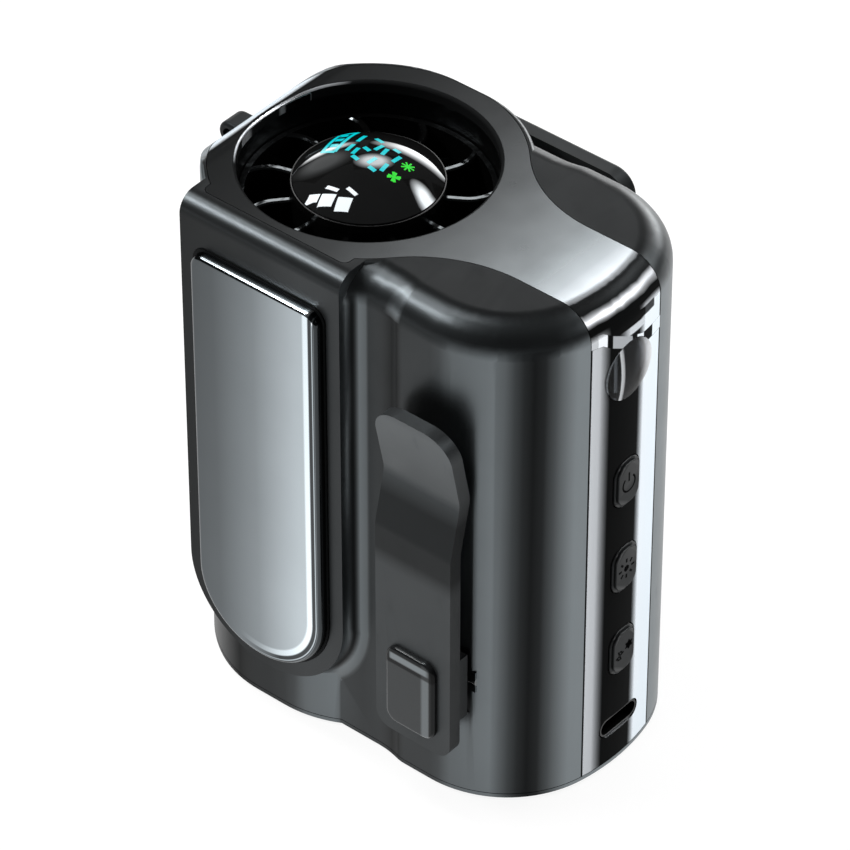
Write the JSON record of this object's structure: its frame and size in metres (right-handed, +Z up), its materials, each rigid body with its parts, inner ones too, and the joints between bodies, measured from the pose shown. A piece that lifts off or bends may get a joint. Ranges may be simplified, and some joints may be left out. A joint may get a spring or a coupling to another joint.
{
  "type": "clip-on cooler",
  "caption": "Pocket cooler with a fan under a lit dome, a flat cooling plate, a torch, push buttons, a charging port, a sprung front clip and a belt clip.",
  "frame": {"origin": "where the fan's axis meets the underside of the base", "axes": "+X towards the strip with the buttons, -Y towards the cooling plate, +Z up along the fan's axis"},
  "size_m": [0.0797, 0.0579, 0.0925],
  "materials": {
    "housing": "fine satin texture",
    "band": "satin gloss, darker than the housing",
    "plate": "polished, mirror-like",
    "gasket": "matt",
    "guard": "gloss black",
    "dome": "high gloss, smoked",
    "ring": "satin grey",
    "board": "solder mask",
    "display": "smoked, lit from inside",
    "duct": "moulded",
    "impeller": "moulded",
    "steel": "ground",
    "iron": "laminated core",
    "ceramic": "white ceramic faces",
    "pad": "soft silicone",
    "aluminium": "extruded",
    "cell": "heat-shrink sleeve",
    "tab": "nickel strip",
    "inner_plastic": "moulded",
    "switch": "moulded",
    "button": "satin with lighter icons",
    "lens": "clear",
    "reflector": "vacuum-coated",
    "led": "phosphor",
    "clip": "satin",
    "thumb": "gloss"
  },
  "bodies": {
    "housing": {"front_shell": "housing", "back_shell": "housing", "base_cover": "housing", "centre_band": "band", "cooling_plate": "plate", "plate_gasket": "gasket", "vane_guard": "guard", "display_dome": "dome", "dome_ring": "ring", "display_board": "board", "display_module": "display", "fan_duct": "duct", "motor_can": "steel", "motor_stator": "iron", "motor_bearings": "steel", "peltier_module": "ceramic", "thermal_pad": "pad", "heat_sink": "aluminium", "front_cell": "cell", "back_cell": "cell", "battery_tabs": "tab", "battery_holder": "inner_plastic", "main_board": "board", "button_switches": "switch", "torch_lens": "lens", "torch_reflector": "reflector", "torch_led": "led", "usb_c_port": "steel", "clip_pin": "steel", "clip_spring": "steel", "belt_clip_pin": "steel", "belt_clip_spring": "steel", "lanyard_loop": "clip", "case_screws": "steel"},
    "impeller": {"impeller": "impeller", "fan_shaft": "steel", "motor_rotor": "iron"},
    "power_button": {"power_button": "button"},
    "light_button": {"light_button": "button"},
    "cooling_button": {"cooling_button": "button"},
    "clip": {"clip_arm": "clip", "thumb_pad": "thumb"},
    "belt_clip": {"belt_clip": "clip"}
  },
  "joints": [
    {"name": "impeller_spin", "type": "hinge", "parent": "housing", "child": "impeller", "pos_m": [0, 0, 0.07], "axis": [0, 0, 1], "continuous": true},
    {"name": "press_power", "type": "slide", "parent": "housing", "child": "power_button", "axis": [-1, 0, 0], "range_m": [0, 0.0004], "stiffness_N_per_m": 1500, "springref_m": -0.0004},
    {"name": "press_light", "type": "slide", "parent": "housing", "child": "light_button", "axis": [-1, 0, 0], "range_m": [0, 0.0004], "stiffness_N_per_m": 1500, "springref_m": -0.0004},
    {"name": "press_cooling", "type": "slide", "parent": "housing", "child": "cooling_button", "axis": [-1, 0, 0], "range_m": [0, 0.0004], "stiffness_N_per_m": 1500, "springref_m": -0.0004},
    {"name": "clip_swing", "type": "hinge", "parent": "housing", "child": "clip", "pos_m": [0.032, -0.0209, 0.02405], "axis": [1, 0, 0], "range_deg": [0, 8], "stiffness_Nm_per_rad": 0.12, "springref_deg": -14.32},
    {"name": "belt_swing", "type": "hinge", "parent": "housing", "child": "belt_clip", "pos_m": [0.0165, 0.0243, 0.08], "axis": [1, 0, 0], "range_deg": [0, 10], "stiffness_Nm_per_rad": 0.25, "springref_deg": -14.32}
  ]
}
